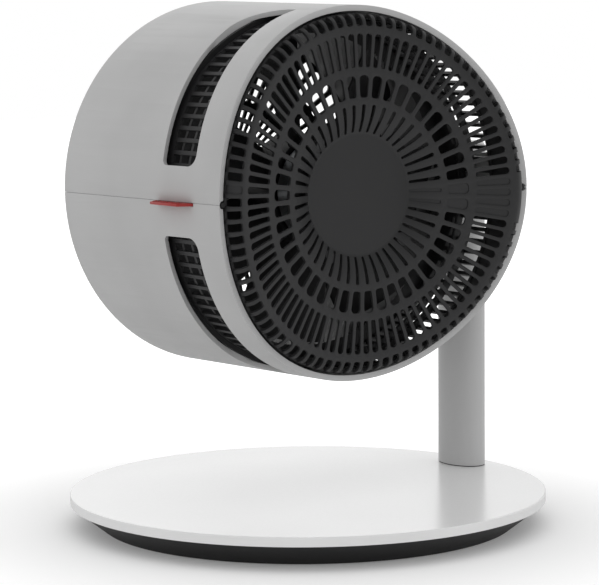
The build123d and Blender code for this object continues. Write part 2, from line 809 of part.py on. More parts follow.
def throat(sink, back_y, mode=Mode.ADD):
    """The disc and the slope round it, moved back by sink, from its face to another depth."""
    face = [(0, disc_y), (disc_radius, disc_y), (throat_radius, disc_y - throat_depth)]
    with BuildSketch(Plane.XY.offset(axis_height)) as section:
        with BuildLine():
            Polyline(*[(x, y + sink) for x, y in face], *[(x, back_y(y)) for x, y in reversed(face)], close=True)
        make_face()
    revolve(section.sketch, axis=head_axis, mode=mode)


with BuildPart() as dish_hollow:
    across(grille_front_y, skirt_back_y + cut_margin, skirt_inner)
    dished(grille_thickness, Mode.SUBTRACT)
    hollow_rim = dish_hollow.edges().sort_by(SortBy.LENGTH)[-1]
    fillet(hollow_rim, grille_shoulder - grille_thickness)

with BuildPart() as shoulder_slots:
    with BuildSketch(head_plane(skirt_back_y)) as shoulder_outline:
        slot_ring(fine_count, outer_ring, outer_slot_width, 4)
    extrude(shoulder_outline.sketch, amount=cutter_reach)
    lip_bend = Plane((0, rim_top_y - lip_band - rim_bend, axis_height - cutter_reach))
    ring(lip_bend, rim_bend, 0, 2 * cutter_reach, Mode.INTERSECT)

boss_points = [polar(mount_boss_circle, a) for a in mount_boss_angles]
mount_front_y = motor_front_y - mount_thickness
with BuildPart() as bosses:
    with BuildSketch(head_plane(mount_front_y)) as boss_outline:
        with Locations(*boss_points):
            Circle(mount_boss_radius)
    extrude(boss_outline.sketch, amount=mount_front_y - grille_front_y)
    throat(boss_sink, lambda y: grille_front_y, Mode.SUBTRACT)
    dished(boss_sink, Mode.SUBTRACT)

with BuildPart() as inlet_grille:
    across(grille_front_y, skirt_back_y, grille_radius)
    dished(0, Mode.SUBTRACT)
    fillet(inlet_grille.edges().sort_by(SortBy.LENGTH)[-1], grille_shoulder)
    add(dish_hollow.part, mode=Mode.SUBTRACT)
    throat(0, lambda y: y + throat_wall)
    dished(0, Mode.SUBTRACT)
    throat(0, lambda y: grille_front_y, Mode.SUBTRACT)
    with BuildSketch(head_plane(skirt_back_y - cut_margin)) as openings:
        for ring_of_slots in slot_rings:
            slot_ring(*ring_of_slots)
    extrude(openings.sketch, amount=cutter_reach, mode=Mode.SUBTRACT)
    add(shoulder_slots.part, mode=Mode.SUBTRACT)
    add(bosses.part)
    drill(behind(mount_front_y), flip(boss_points), screw_radius + fit, boss_hole_depth)
save(inlet_grille, "inlet_grille")

with BuildPart() as lead_cover:
    with BuildSketch(head_plane(skirt_back_y, pattern_turn)) as cover_outline:
        cover_start = disc_radius + cover_gap
        cover_end = inward(outer_ring)[0] - cover_end_gap
        with Locations(((cover_start + cover_end) / 2, 0)):
            Rectangle(cover_end - cover_start, cover_width)
    extrude(cover_outline.sketch, amount=cutter_reach)
    cover_inner = grille_bend + grille_thickness + slide_gap
    ring(bend_centre, cover_inner + cover_thickness, cover_inner, 2 * cutter_reach, Mode.INTERSECT)
save(lead_cover, "lead_cover")

with BuildPart() as guard_gaps:
    guard_gap_back = flange_front_y - guard_back_band
    with BuildSketch(head_plane(guard_gap_back)) as gap_outline:
        with PolarLocations(grille_radius, fine_count, start_angle=pattern_turn + 180 / fine_count):
            Rectangle(3 * grille_thickness, guard_gap_width)
    extrude(gap_outline.sketch, amount=guard_gap_back - skirt_back_y - guard_band)
    guard_bend = Plane((0, slot_back_y - guard_band - slot_back_bend, axis_height - cutter_reach))
    ring(guard_bend, slot_back_bend, 0, 2 * cutter_reach, Mode.INTERSECT)

with BuildPart() as guard_basket:
    across(skirt_back_y, flange_front_y, grille_radius, skirt_inner)
    add(guard_gaps.part, mode=Mode.SUBTRACT)
    for hoop_y in guard_hoops:
        across(hoop_y, hoop_y + hoop_width, grille_radius - grille_thickness / 2, grille_radius - hoop_depth)
    notch = Plane(origin=(-grille_radius, skirt_back_y, axis_height), x_dir=(1, 0, 0), z_dir=(0, 1, 0))
    with BuildSketch(notch) as notch_outline:
        Rectangle(2 * hoop_depth + cut_margin, tab_notch_height)
    extrude(notch_outline.sketch, amount=flange_front_y - skirt_back_y, mode=Mode.SUBTRACT)
save(guard_basket, "guard_basket")

# ================================================================ air duct and outlet
with BuildPart() as air_duct:
    across(flange_front_y, duct_back_y, duct_radius + duct_wall, duct_radius)
    flange_back_y = flange_front_y + flange_thickness
    flange_radius = drum_radius(flange_front_y) - shell_wall - 3 * part_gap
    across(flange_front_y, flange_back_y, flange_radius, duct_radius)
    with BuildSketch(side_plane(duct_radius + duct_wall / 2)) as pad_outline:
        Rectangle(2 * pivot_pad_half_y, 2 * pivot_pad_half_z)
    extrude(pad_outline.sketch, amount=pivot_pad_reach - duct_wall / 2)
    ring(side_plane(tilt_inner_x), tilt_radius + fit, 0, pivot_pad_reach, Mode.SUBTRACT)
    ring(side_plane(duct_radius - tilt_radius), tilt_bore, 0, 2 * tilt_radius, Mode.SUBTRACT)
    ring(dowel_plane, dowel_radius + fit, 0, 2 * dowel_half, Mode.SUBTRACT)
    rail_x = tab_spring_x - tab_spring_length
    with BuildSketch(head_plane(flange_front_y)) as rail_outline:
        with Locations((-rail_x + tab_rail_thickness / 2, 0)):
            Rectangle(tab_rail_thickness, 2 * tab_rail_half_z)
    extrude(rail_outline.sketch, amount=flange_front_y - tab_front_y - tab_rail_end)
    drill(behind(flange_back_y), flip(duct_screw_points), screw_radius + fit, flange_thickness - slide_gap)
save(air_duct, "air_duct")

outlet_edge = front_radius - outlet_inset
outlet_bend = (outlet_edge**2 + outlet_crown**2) / (2 * outlet_crown)


def crown(radius):
    """Depth of the spherical outlet face at a radius."""
    return outlet_face_y + outlet_crown - outlet_bend + math.sqrt(outlet_bend**2 - radius**2)


with BuildPart() as outlet_grille:
    with BuildSketch(Plane.XY.offset(axis_height)) as dome:
        with BuildLine():
            rim_radius = drum_radius(outlet_y) - shell_wall - part_gap
            mid = outlet_edge / 2
            Line((0, crown(0) - outlet_thickness), (0, crown(0)))
            ThreePointArc((0, crown(0)), (mid, crown(mid)), (outlet_edge, outlet_face_y))
            Polyline(
                (outlet_edge, outlet_face_y), (rim_radius, outlet_face_y),
                (rim_radius, outlet_y), (outlet_edge, outlet_y),
            )
            ThreePointArc(
                (outlet_edge, outlet_y), (mid, crown(mid) - outlet_thickness), (0, crown(0) - outlet_thickness)
            )
        make_face()
    revolve(dome.sketch, axis=head_axis)
    with BuildSketch(head_plane(back_y)) as vents:
        pitch = 360 / outlet_slot_count
        for start, end, width in outlet_rows:
            slot_row((outlet_edge - start, outlet_edge - end), width, pitch, 0, outlet_slot_count)
    extrude(vents.sketch, amount=back_y - outlet_y + ledge_depth, mode=Mode.SUBTRACT)
    drill(head_plane(outlet_face_y), outlet_screw_points, screw_radius + screw_clearance, -outlet_thickness)
save(outlet_grille, "outlet_grille")

# ================================================================ motor
bearing_seat = bearing_radius + fit
cap_front_y = motor_back_y - cap_thickness
back_bearing_y = cap_front_y - bearing_width - bearing_float

with BuildPart() as motor_mount:
    across(mount_front_y, motor_front_y, mount_radius, bearing_seat)
    across(motor_front_y, shaft_front_y + bearing_width, bearing_seat + bearing_wall, bearing_seat)
    drill(head_plane(mount_front_y), boss_points, screw_radius + screw_clearance, mount_thickness)
save(motor_mount, "motor_mount")

with BuildPart() as mount_screws:
    screws(behind(motor_front_y), flip(boss_points), mount_thickness + boss_hole_depth - loose_gap)
save(mount_screws, "mount_screws")

with BuildPart() as motor_housing:
    across(motor_front_y, cap_front_y, motor_radius, motor_radius - motor_wall)
save(motor_housing, "motor_housing")

with BuildPart() as motor_end_cap:
    across(cap_front_y, motor_back_y, motor_radius, shaft_radius + 1)
    across(back_bearing_y, cap_front_y, bearing_seat + bearing_wall, bearing_seat)
save(motor_end_cap, "motor_end_cap")

with BuildPart() as stator:
    across(core_front_y, core_back_y, motor_radius - motor_wall - fit, stator_inner + air_gap)
save(stator, "stator")

with BuildPart() as rotor:
    across(core_front_y, core_back_y, stator_inner, shaft_radius + fit)
save(rotor, "rotor")

with BuildPart() as motor_shaft:
    across(shaft_front_y, shaft_back_y, shaft_radius)
save(motor_shaft, "motor_shaft")

with BuildPart() as bearings:
    across(shaft_front_y, shaft_front_y + bearing_width, bearing_radius, shaft_radius + fit)
    across(back_bearing_y, back_bearing_y + bearing_width, bearing_radius, shaft_radius + fit)
save(bearings, "bearings")

# ================================================================ impeller
blade_tip = duct_radius - blade_tip_gap
hub_inner_radius = impeller_hub_radius - impeller_wall
blade_mid_y = (impeller_front_y + impeller_back_y) / 2


def blade_section(x, chord, pitch):
    """Round-edged section of a blade at distance x from the axis."""
    station = Plane(origin=(x, blade_mid_y, axis_height), x_dir=(0, 1, 0), z_dir=(1, 0, 0))
    with BuildSketch(station) as section:
        SlotOverall(chord, blade_thickness, rotation=90 + pitch)
    return section.sketch


with BuildPart() as blade:
    root = blade_section(hub_inner_radius - blade_thickness, root_chord, root_pitch)
    tip = blade_section(blade_tip + blade_thickness, tip_chord, tip_pitch)
    loft([root, tip])
    across(-tip_chord, tip_chord, blade_tip, impeller_hub_radius - impeller_wall / 2, mode=Mode.INTERSECT)

with BuildPart() as impeller:
    across(impeller_front_y, impeller_back_y, impeller_hub_radius)
    across(impeller_front_y, impeller_back_y - impeller_wall, hub_inner_radius, mode=Mode.SUBTRACT)
    across(impeller_front_y + slide_gap, impeller_back_y, hub_boss_radius)
    across(impeller_front_y, impeller_back_y, shaft_radius + fit, mode=Mode.SUBTRACT)
    for k in range(blade_count):
        add(blade.part.rotate(head_axis, 360 / blade_count * k))
save(impeller, "impeller")

with BuildPart() as impeller_nut:
    across(impeller_back_y, shaft_back_y - 1, hub_boss_radius - 1, shaft_radius + fit)
save(impeller_nut, "impeller_nut")
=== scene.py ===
import math

import bmesh
import bpy
from mathutils import Matrix, Vector


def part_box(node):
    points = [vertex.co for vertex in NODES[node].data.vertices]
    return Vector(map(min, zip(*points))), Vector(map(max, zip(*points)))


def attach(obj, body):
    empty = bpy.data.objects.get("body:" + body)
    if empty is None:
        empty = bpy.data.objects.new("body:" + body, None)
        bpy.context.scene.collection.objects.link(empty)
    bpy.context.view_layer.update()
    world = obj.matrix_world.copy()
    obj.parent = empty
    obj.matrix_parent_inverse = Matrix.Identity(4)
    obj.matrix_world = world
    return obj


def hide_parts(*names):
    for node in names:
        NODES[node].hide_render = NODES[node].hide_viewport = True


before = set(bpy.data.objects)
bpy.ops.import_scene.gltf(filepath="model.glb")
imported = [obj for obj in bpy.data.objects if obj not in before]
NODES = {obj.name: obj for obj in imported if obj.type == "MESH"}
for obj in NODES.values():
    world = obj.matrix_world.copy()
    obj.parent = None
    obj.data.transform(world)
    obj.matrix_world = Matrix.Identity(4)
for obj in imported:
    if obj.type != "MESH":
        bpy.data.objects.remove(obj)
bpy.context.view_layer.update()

bl_info = {
    "name": "Air Circulator Fan",
    "version": (1, 0, 0),
    "blender": (4, 5, 0),
    "location": "View3D > Sidebar > Fan",
    "description": "Dresses the fan's solids: grilles, drum, tab, dial, finishes and a studio",
    "category": "Add Mesh",
}

MM = 0.001
AXIS_HEIGHT = (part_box("motor_shaft")[0].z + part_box("motor_shaft")[1].z) / 2
GRILLE_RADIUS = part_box("inlet_grille")[1].x
SKIRT_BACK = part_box("inlet_grille")[1].y
OUTLET_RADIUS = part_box("outlet_grille")[1].x
OUTLET_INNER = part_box("outlet_grille")[0].y

# Rings of slots, with their sizes in millimetres out from the drum axis along the sheet: bounds of
# the ring, span of its slots, their widths and corner radii at the inner and the outer end, and as
# stops the rows of points between. Columns are the faces across a cell. A stretch of the inlet's
# rings is its first cell, the number of its cells and their kind.
INLET_RINGS = (
    {"count": 45, "bounds": (41.0, 62.3), "span": (41.5, 60.1), "widths": (1.9, 2.8),
     "corners": (0.9, 1.3), "columns": 12, "stops": (45.0, 50.0, 55.0),
     "stretches": ((1, 43, "open"), (-1, 2, "blind"))},
    {"count": 45, "bounds": (62.3, 81.9), "span": (64.5, 79.3), "widths": (6.1, 7.6),
     "corners": (1.8, 3.0), "columns": 12, "stops": (69.0, 73.0),
     "stretches": ((1, 43, "open"), (-1, 2, "blind"))},
    {"count": 90, "bounds": (81.9, 109.3), "span": (84.5, 106.9), "widths": (3.5, 4.9),
     "corners": (1.3, 2.3), "columns": 6, "stops": (91.0, 98.0),
     "stretches": ((2, 86, "open"), (-2, 4, "blind"))},
    {"count": 90, "bounds": (109.3, 126.6), "span": (111.7, 125.2), "widths": (5.4, 5.4),
     "corners": (1.8, 0.5), "columns": 6, "stops": (115.8, 117.6, 119.4, 121.0, 122.6, 124.2),
     "stretches": ((2, 42, "open"), (44, 1, "blind"), (45, 43, "open"), (-2, 4, "plain"))},
)
OUTLET_RINGS = (
    {"count": 60, "bounds": (31.0, 58.0), "span": (34.0, 56.0), "widths": (2.2, 3.0),
     "corners": (1.1, 1.5), "columns": 6, "stops": (41.0, 48.0)},
    {"count": 60, "bounds": (58.0, 84.0), "span": (60.0, 82.0), "widths": (4.0, 5.2),
     "corners": (1.9, 2.5), "columns": 6, "stops": (67.0, 74.0)},
    {"count": 60, "bounds": (84.0, 111.5), "span": (86.0, 108.0), "widths": (6.0, 7.4),
     "corners": (2.8, 3.4), "columns": 6, "stops": (93.0, 100.0)},
)
# The outer ring turns round the shoulder between its first and its last stop.
SHOULDER_START = INLET_RINGS[-1]["stops"][0] * MM
SHOULDER_END = INLET_RINGS[-1]["stops"][-1] * MM
SLOT_STOP = INLET_RINGS[-1]["span"][1] * MM
# Distances that close the joints between cells and between a solid's loose triangles, that find
# the loop of a round opening and that find the vertices of the seam
CELL_WELD = 0.03 * MM
NODE_WELD = 0.002 * MM
LOOP_MARGIN = 0.1 * MM
SEAM_MARGIN = 0.02 * MM
# Faces that lean less than this are one flat face, and edges that turn less are shaded smooth.
FLAT_ANGLE = math.radians(0.6)
SMOOTH_ANGLE = math.radians(35)
# Where a pattern of tone is at its darkest and at its lightest, as noise seldom gets past these.
TONE_STOPS = (0.3, 0.7)


# ---------------------------------------------------------------- sizes and colours
class GrilleSizes(bpy.types.PropertyGroup):
    face_depth: bpy.props.FloatProperty(
        name="Face depth", description="Place of the grille's middle along the drum axis",
        default=-68.3 * MM, unit="LENGTH")
    dish_bend: bpy.props.FloatProperty(
        name="Dish bend", description="Radius of the upright hollow that dishes the face",
        default=257 * MM, unit="LENGTH")
    shoulder: bpy.props.FloatProperty(
        name="Shoulder", description="Rounding between the face and the skirt",
        default=8 * MM, unit="LENGTH")
    thickness: bpy.props.FloatProperty(
        name="Thickness", description="Wall of the moulding", default=1.9 * MM, unit="LENGTH")
    edge_round: bpy.props.FloatProperty(
        name="Edge rounding", description="Rounding of the slot edges",
        default=0.35 * MM, unit="LENGTH")
    disc_radius: bpy.props.FloatProperty(
        name="Disc radius", description="Flat disc in the middle", default=41 * MM, unit="LENGTH")
    dip_radius: bpy.props.FloatProperty(
        name="Dip radius", description="Where the face starts to dip towards the disc",
        default=60 * MM, unit="LENGTH")
    disc_depth: bpy.props.FloatProperty(
        name="Disc depth", description="Place of the disc along the drum axis",
        default=-63.3 * MM, unit="LENGTH")
    blind_depth: bpy.props.FloatProperty(
        name="Blind depth", description="How deep the blind slots are sunk",
        default=0.8 * MM, unit="LENGTH")
    lip_depth: bpy.props.FloatProperty(
        name="Lip depth", description="Place of the drum's lip along the drum axis, at the top",
        default=-59.3 * MM, unit="LENGTH")
    lip_bend: bpy.props.FloatProperty(
        name="Lip bend", description="Radius of the upright hollow that dishes the lip",
        default=298.8 * MM, unit="LENGTH")
    lip_band: bpy.props.FloatProperty(
        name="Lip band", description="Plain band between the outer slots and the drum's lip",
        default=0.6 * MM, unit="LENGTH")
    pattern_turn: bpy.props.FloatProperty(
        name="Pattern turn", description="Turn of the slot pattern about the drum axis",
        default=math.radians(-3), unit="ROTATION")


class TrimSizes(bpy.types.PropertyGroup):
    tab_round: bpy.props.FloatProperty(
        name="Tab rounding", description="Edge rounding of the release tab",
        default=0.35 * MM, unit="LENGTH")
    tab_ridges: bpy.props.IntProperty(
        name="Tab ridges", description="Number of slanted grip ridges on the release tab",
        default=12, min=2)
    seam_fall: bpy.props.FloatProperty(
        name="Seam fall", description="Fall of the drum's seam towards the back",
        default=math.radians(0.5), unit="ROTATION")
    seam_level: bpy.props.FloatProperty(
        name="Seam level", description="Where along the drum axis the seam is as high as the axis",
        default=-42.0 * MM, unit="LENGTH")
    seam_gap: bpy.props.FloatProperty(
        name="Seam gap", description="Gap between the two halves of the drum",
        default=0.2 * MM, unit="LENGTH")
    dial_flutes: bpy.props.IntProperty(
        name="Dial flutes", description="Number of grip flutes round the dial", default=36, min=3)
    outlet_round: bpy.props.FloatProperty(
        name="Outlet edge rounding", description="Rounding of the outlet slots",
        default=0.35 * MM, unit="LENGTH")


class FinishColours(bpy.types.PropertyGroup):
    shell: bpy.props.StringProperty(
        name="Drum", description="Drum shells, sRGB hex", default="B9B9B9")
    post: bpy.props.StringProperty(
        name="Post", description="Post tube and cap, sRGB hex", default="BCBCBC")
    base: bpy.props.StringProperty(
        name="Base", description="Base disc, sRGB hex", default="ECECEC")
    grille: bpy.props.StringProperty(
        name="Grille", description="Both grilles, lead cover and guard, sRGB hex", default="242425")
    inside: bpy.props.StringProperty(
        name="Inside", description="Duct, motor mount and impeller, sRGB hex", default="161617")
    foot: bpy.props.StringProperty(
        name="Foot", description="Foot, dial and pins, sRGB hex", default="0E0E0F")
    tab: bpy.props.StringProperty(
        name="Tab", description="Release tab, sRGB hex", default="9E1C19")


class StudioSettings(bpy.types.PropertyGroup):
    camera_turn: bpy.props.FloatProperty(
        name="Camera turn", description="Turn of the camera about the vertical",
        default=-0.59698, unit="ROTATION")
    camera_rise: bpy.props.FloatProperty(
        name="Camera rise", description="Height angle of the camera",
        default=0.11316, unit="ROTATION")
    camera_roll: bpy.props.FloatProperty(
        name="Camera roll", description="Roll of the camera", default=-0.00907, unit="ROTATION")
    camera_distance: bpy.props.FloatProperty(
        name="Camera distance", description="From the point looked at",
        default=1698.13 * MM, unit="LENGTH")
    lens: bpy.props.FloatProperty(
        name="Lens", description="Focal length on a 36 mm sensor",
        default=148.07, subtype="DISTANCE_CAMERA")
    key_watts: bpy.props.FloatProperty(
        name="Key", description="Power of the large light behind, to the right",
        default=3.0, unit="POWER")
    fill_watts: bpy.props.FloatProperty(
        name="Fill", description="Power of the front fill", default=1.5, unit="POWER")
    world_strength: bpy.props.FloatProperty(
        name="World", description="Strength of the even light from all round", default=0.84)
    room_strength: bpy.props.FloatProperty(
        name="Room", description="What reflections see behind the camera", default=0.25)


# ---------------------------------------------------------------- modelling helpers
def clear_selection():
    if bpy.context.object and bpy.context.object.mode != "OBJECT":
        object_mode()
    bpy.ops.object.select_all(action="DESELECT")


def object_mode():
    bpy.ops.object.mode_set(mode="OBJECT")


def only(piece):
    """Select this piece alone and make it active."""
    clear_selection()
    piece.select_set(True)
    bpy.context.view_layer.objects.active = piece


def begin(name):
    """Name the active object, such as a primitive that was just added."""
    piece = bpy.context.object
    piece.name = name
    piece.data.name = name
    return piece


def settle(piece):
    """Put the piece's place into its mesh."""
    only(piece)
    bpy.ops.object.transform_apply(location=True, rotation=True, scale=True)


def select_where(piece, test, kind="verts"):
    """Edit mode, with the vertices, edges or faces that pass the test selected."""
    only(piece)
    bpy.ops.object.mode_set(mode="EDIT")
    modes = {"verts": "VERT", "edges": "EDGE", "faces": "FACE"}
    bpy.ops.mesh.select_mode(type=modes[kind])
    bpy.ops.mesh.select_all(action="DESELECT")
    mesh = bmesh.from_edit_mesh(piece.data)
    for element in getattr(mesh, kind):
        if test(element):
            element.select_set(True)
    mesh.select_flush_mode()
    bmesh.update_edit_mesh(piece.data)


def modify(piece, kind, **settings):
    """Add a modifier and apply it."""
    only(piece)
    made = piece.modifiers.new(kind.title(), kind)
    for key, value in settings.items():
        setattr(made, key, value)
    bpy.ops.object.modifier_apply(modifier=made.name)


def round_edges(piece, width, segments=2, angle=35):
    """Round the edges that are sharper than an angle in degrees."""
    modify(piece, "BEVEL", width=width, segments=segments, limit_method="ANGLE",
           angle_limit=math.radians(angle), use_clamp_overlap=True)


def weld(piece, distance):
    select_where(piece, lambda v: True)
    bpy.ops.mesh.remove_doubles(threshold=distance)
    object_mode()


def join(pieces, name):
    clear_selection()
    for piece in pieces:
        piece.select_set(True)
    bpy.context.view_layer.objects.active = pieces[0]
    bpy.ops.object.join()
    return begin(name)


def face_toward(piece, direction):
    """Turn an open sheet's faces so that most of them look along the direction."""
    facing = sum(face.normal.dot(direction) * face.area for face in piece.data.polygons)
    if facing < 0:
        select_where(piece, lambda f: True, "faces")
        bpy.ops.mesh.flip_normals()
        object_mode()


def copy_of_node(node, name):
    """A copy of a solid's mesh, merged and with its flat faces whole, to be given rounded edges."""
    only(NODES[node])
    bpy.ops.object.duplicate()
    piece = begin(name)
    piece.parent = None
    for key in list(piece.keys()):
        del piece[key]
    weld(piece, NODE_WELD)
    select_where(piece, lambda f: True, "faces")
    bpy.ops.mesh.dissolve_limited(angle_limit=FLAT_ANGLE)
    object_mode()
    return piece


def finish_piece(piece, body, nodes):
    """Shade a piece, give it the finish of the node it replaces, and hand it to the frame."""
    only(piece)
    bpy.ops.object.shade_smooth_by_angle(angle=SMOOTH_ANGLE)
    piece.data.materials.clear()
    piece.data.materials.append(finish_of(nodes[0]))
    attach(piece, body)
    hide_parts(*nodes)


# ---------------------------------------------------------------- slotted sheets
def slot_cell(name, ring, half_pitch, radius_at, sunk):
    """One cell of a ring of slots, laid out flat: x is the way out along the sheet, y the angle,
    z the depth. The slot is cut out where sunk is None, left plain where it is 0, and otherwise
    sunk by that depth."""
    bounds, span, widths, corners, stops = (
        [size * MM for size in ring[key]]
        for key in ("bounds", "span", "widths", "corners", "stops"))
    straight = (span[0] + corners[0], span[1] - corners[1])
    outs = (bounds[0], span[0], straight[0], *stops, straight[1], span[1], bounds[1])
    columns, rows = ring["columns"], len(outs) - 1
    clear_selection()
    bpy.ops.mesh.primitive_grid_add(x_subdivisions=columns, y_subdivisions=rows, size=2)
    cell = begin(name)
    places = {}
    for vertex in cell.data.vertices:
        column = round((vertex.co.x + 1) / 2 * columns)
        row = round((vertex.co.y + 1) / 2 * rows)
        places[vertex.index] = (column, row)
        share, out = 2 * column / columns - 1, outs[row]
        turn = share * half_pitch
        if 0 < column < columns and 0 < row < rows:
            wide = min(max((out - straight[0]) / (straight[1] - straight[0]), 0), 1)
            width = widths[0] + (widths[1] - widths[0]) * wide
            across = width / 2 * max(-1.0, min(1.0, share / (1 - 2 / columns)))
            if row in (1, rows - 1):
                end, side = (0, -1) if row == 1 else (1, 1)
                corner, lean = corners[end], abs(share) * math.pi / 2
                out = straight[end] + side * corner * math.cos(lean)
                across = width / 2 - corner + corner * math.sin(lean)
                across = math.copysign(across, share) if share else 0
            turn = across / radius_at(out)
        vertex.co = (out, turn, 0)

    def inside(face):
        loop = [places[v.index] for v in face.verts]
        return all(0 < column < columns and 0 < row < rows for column, row in loop)

    if sunk != 0:
        select_where(cell, inside, "faces")
        if sunk is None:
            bpy.ops.mesh.delete(type="FACE")
        else:
            bpy.ops.mesh.extrude_region_move(TRANSFORM_OT_translate={"value": (0, 0, sunk)})
        object_mode()
    return cell


def run_of_cells(name, ring, first, number, start, radius_at, sunk=None):
    """A run of like cells of a ring beside each other. Start is the angle of the ring's cell 0."""
    pitch = 2 * math.pi / ring["count"]
    run = slot_cell(name, ring, pitch / 2, radius_at, sunk)
    for vertex in run.data.vertices:
        vertex.co.y += start + pitch * (first + 0.5)
    if number > 1:
        modify(run, "ARRAY", count=number, use_relative_offset=False, use_constant_offset=True,
               constant_offset_displace=(0, pitch, 0))
    return run


def edge_radius(edge):
    return max(math.hypot(v.co.x, v.co.z - AXIS_HEIGHT) for v in edge.verts)


def extend_loop(piece, test, steps, closed=False):
    """Carry a boundary loop on through rings round the drum axis, each given by its radius and
    its depth, and close it in the middle where that is asked for."""
    select_where(piece, lambda e: e.is_boundary and test(e), "edges")
    for radius, depth in steps:
        bpy.ops.mesh.extrude_edges_move()
        mesh = bmesh.from_edit_mesh(piece.data)
        point = next(v for v in mesh.verts if v.select)
        scale = radius / math.hypot(point.co.x, point.co.z - AXIS_HEIGHT)
        bpy.ops.transform.resize(
            value=(scale, 0, scale), center_override=(0, depth, AXIS_HEIGHT))
    if closed:
        bpy.ops.mesh.merge(type="CENTER")
    object_mode()


def bend_depth(middle, bend, away):
    """Depth on a bend of that radius, at a distance away from its middle."""
    return middle - bend + math.sqrt(bend ** 2 - away ** 2)


def seam_height(trim, y):
    """Height of the drum's seam at a depth."""
    return AXIS_HEIGHT - math.tan(trim.seam_fall) * (y - trim.seam_level)


class InletSheet:
    """The dished sheet on which the flat pattern of the inlet grille is laid."""
    dip_ease = 1.8           # power by which the dip runs out into the face
    least_skirt = 0.5 * MM   # least length of the outer slots behind the shoulder

    def __init__(self, sizes):
        self.sizes = sizes
        self.bend = sizes.shoulder
        self.crest = GRILLE_RADIUS - self.bend
        self.start_lean = math.asin((SHOULDER_START - self.crest) / self.bend)

    def lean_at(self, out):
        """Angle round the shoulder at a distance out along the sheet."""
        if out < SHOULDER_START:
            return math.asin(min(max((out - self.crest) / self.bend, -1), 1))
        share = (out - SHOULDER_START) / (SHOULDER_END - SHOULDER_START)
        return min(self.start_lean + share * (math.pi / 2 - self.start_lean), math.pi / 2)

    def radius_at(self, out):
        """Distance from the drum axis at a distance out along the sheet."""
        if out < SHOULDER_START:
            return out
        return self.crest + self.bend * math.sin(self.lean_at(out))

    def face(self, x):
        """Depth of the hollow face."""
        return bend_depth(self.sizes.face_depth, self.sizes.dish_bend, x)

    def lip(self, x):
        """Depth of the drum's lip."""
        return bend_depth(self.sizes.lip_depth, self.sizes.lip_bend, x)

    def front(self, x, radius):
        """Depth of the sheet's front, which dips towards the disc."""
        sizes = self.sizes
        away = (radius - sizes.disc_radius) / (sizes.dip_radius - sizes.disc_radius)
        ease = 1 - (1 - min(max(away, 0), 1)) ** self.dip_ease
        return sizes.disc_depth + (self.face(x) - sizes.disc_depth) * ease

    def slope(self, turn):
        """Angle at which the face leans forwards at the edge, at an angle round the axis."""
        x = self.crest * math.cos(turn)
        return math.atan(math.cos(turn) * x / math.sqrt(self.sizes.dish_bend ** 2 - x ** 2))

    def place(self, out, turn, depth):
        """Where a point of the flat pattern lies on the sheet."""
        lean, fall = self.lean_at(out), self.slope(turn)
        rounded = out > self.crest - self.bend * math.sin(fall)
        radius = self.radius_at(out) - (depth * math.sin(lean) if rounded else 0)
        x = radius * math.cos(turn)
        if rounded:
            foot = self.face(self.crest * math.cos(turn)) + self.bend / math.cos(fall)
            stop = max(self.lip(x) - self.sizes.lip_band, foot + self.least_skirt)
            y = foot - (self.bend - depth) * math.cos(lean)
            y += (stop - foot) * min(max(0, out - SHOULDER_END) / (SLOT_STOP - SHOULDER_END), 1)
            y += max(0, out - SLOT_STOP)
        else:
            y = self.front(x, radius) + depth
        return x, y, AXIS_HEIGHT + radius * math.sin(turn)


# ---------------------------------------------------------------- materials
NOISE = "ShaderNodeTexNoise"


def linear(code):
    """Linear RGBA of an sRGB hex code."""
    parts = [int(code[i:i + 2], 16) / 255 for i in (0, 2, 4)]
    return [c / 12.92 if c <= 0.04045 else ((c + 0.055) / 1.055) ** 2.4 for c in parts] + [1.0]


def shade(code, share):
    """The hex code made darker or lighter by a share."""
    parts = [min(255, max(0, round(int(code[i:i + 2], 16) * (1 + share)))) for i in (0, 2, 4)]
    return "".join(f"{p:02X}" for p in parts)


def add_node(tree, kind, inputs=None, **settings):
    """Add a shader node with its settings, values and links."""
    made = tree.nodes.new(kind)
    for key, value in settings.items():
        setattr(made, key, value)
    for key, value in (inputs or {}).items():
        if isinstance(value, bpy.types.NodeSocket):
            tree.links.new(value, made.inputs[key])
        else:
            made.inputs[key].default_value = value
    return made


def empty_tree(owner):
    """The cleared node tree of a new material or world."""
    owner.use_nodes = True
    owner.node_tree.nodes.clear()
    return owner.node_tree


def patterned(name, code, swings, patterns, roughness, gloss=0.0, bump=None, **constants):
    """A material whose colour swings about a hex code, by two shares, with its first pattern. Its
    roughness, by gloss each way, and its bump, of a strength and a depth in metres, follow its
    last pattern. A pattern is the kind, inputs and settings of a texture node."""
    tree = empty_tree(bpy.data.materials.new(name))
    coords = add_node(tree, "ShaderNodeTexCoord").outputs["Object"]
    factors = [add_node(tree, kind, {"Vector": coords, **inputs}, **settings).outputs["Fac"]
               for kind, inputs, settings in patterns]
    ramp = add_node(tree, "ShaderNodeValToRGB", {"Fac": factors[0]})
    for stop, swing, place in zip(ramp.color_ramp.elements, swings, TONE_STOPS):
        stop.color = linear(shade(code, swing))
        stop.position = place
    surface = {"Base Color": ramp.outputs["Color"], "Roughness": roughness, **constants}
    if gloss:
        spread = add_node(tree, "ShaderNodeMapRange", {
            "Value": factors[-1], "To Min": roughness - gloss, "To Max": roughness + gloss})
        surface["Roughness"] = spread.outputs["Result"]
    if bump:
        strength, depth = bump
        relief = add_node(tree, "ShaderNodeBump", {
            "Height": factors[-1], "Strength": strength, "Distance": depth})
        surface["Normal"] = relief.outputs["Normal"]
    shader = add_node(tree, "ShaderNodeBsdfPrincipled", surface)
    add_node(tree, "ShaderNodeOutputMaterial", {"Surface": shader.outputs["BSDF"]})


